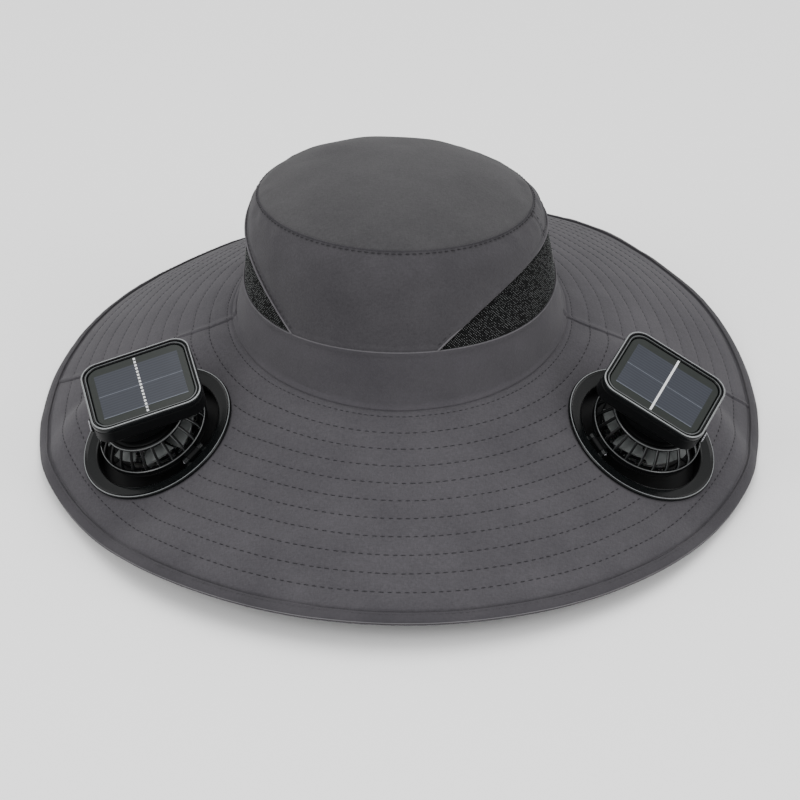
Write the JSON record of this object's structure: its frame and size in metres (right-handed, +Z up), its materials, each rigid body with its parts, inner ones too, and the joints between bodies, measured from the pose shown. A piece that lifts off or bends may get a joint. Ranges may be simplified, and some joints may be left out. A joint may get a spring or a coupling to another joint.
{
  "type": "solar fan hat",
  "caption": "Wide-brimmed cloth sun hat with net vents in the crown and hinged solar-powered fans set into the front of the brim.",
  "frame": {"origin": "middle of the hat's outline, on the plane of the lowest edge of its brim", "axes": "+Z up through the crown, +Y towards the back of the hat, -Y the front where the fans sit, +X the viewer's right"},
  "size_m": [0.4158, 0.4684, 0.163],
  "materials": {
    "hat_cloth": "brushed dark grey cotton twill with rings of stitching",
    "band_cloth": "dark grey plain-woven cloth",
    "netting": "fine black net",
    "black_gloss": "glossy moulded black",
    "black_matt": "satin moulded black",
    "rotor_plastic": "satin dark grey",
    "pin_steel": "bright wire",
    "solar_glass": "clear-coated blue-grey solar cell"
  },
  "bodies": {
    "hat": {"crown_tip": "hat_cloth", "crown_front": "hat_cloth", "crown_back": "hat_cloth", "vent_mesh_left": "netting", "vent_mesh_right": "netting", "hat_band": "band_cloth", "brim_front": "hat_cloth", "brim_back": "hat_cloth", "brim_binding": "band_cloth", "fan_left_flange": "black_gloss", "fan_left_clamp_ring": "black_matt", "fan_left_hinge_pin": "pin_steel", "fan_right_flange": "black_gloss", "fan_right_clamp_ring": "black_matt", "fan_right_hinge_pin": "pin_steel"},
    "head_left": {"fan_left_cage": "black_matt", "fan_left_lower_grille": "black_matt", "fan_left_motor": "black_matt", "fan_left_housing": "black_gloss", "fan_left_bezel": "black_gloss", "fan_left_solar_panel": "solar_glass", "fan_left_switch": "black_matt"},
    "rotor_left": {"fan_left_rotor": "rotor_plastic"},
    "head_right": {"fan_right_cage": "black_matt", "fan_right_lower_grille": "black_matt", "fan_right_motor": "black_matt", "fan_right_housing": "black_gloss", "fan_right_bezel": "black_gloss", "fan_right_solar_panel": "solar_glass", "fan_right_switch": "black_matt"},
    "rotor_right": {"fan_right_rotor": "rotor_plastic"}
  },
  "joints": [
    {"name": "fan_left_tilt", "type": "hinge", "parent": "hat", "child": "head_left", "pos_m": [-0.11099, -0.11337, 0.04264], "axis": [0.6565, 0.5881, 0.4723], "range_deg": [-6, 54]},
    {"name": "fan_right_tilt", "type": "hinge", "parent": "hat", "child": "head_right", "pos_m": [0.10656, -0.1085, 0.04525], "axis": [0.5042, -0.7317, -0.4588], "range_deg": [-9, 51]},
    {"name": "fan_left_spin", "type": "hinge", "parent": "head_left", "child": "rotor_left", "pos_m": [-0.13568, -0.09021, 0.0481], "axis": [-0.3318, -0.3371, 0.8811], "continuous": true},
    {"name": "fan_right_spin", "type": "hinge", "parent": "head_right", "child": "rotor_right", "pos_m": [0.1356, -0.09055, 0.04852], "axis": [0.2967, -0.3522, 0.8877], "continuous": true}
  ]
}
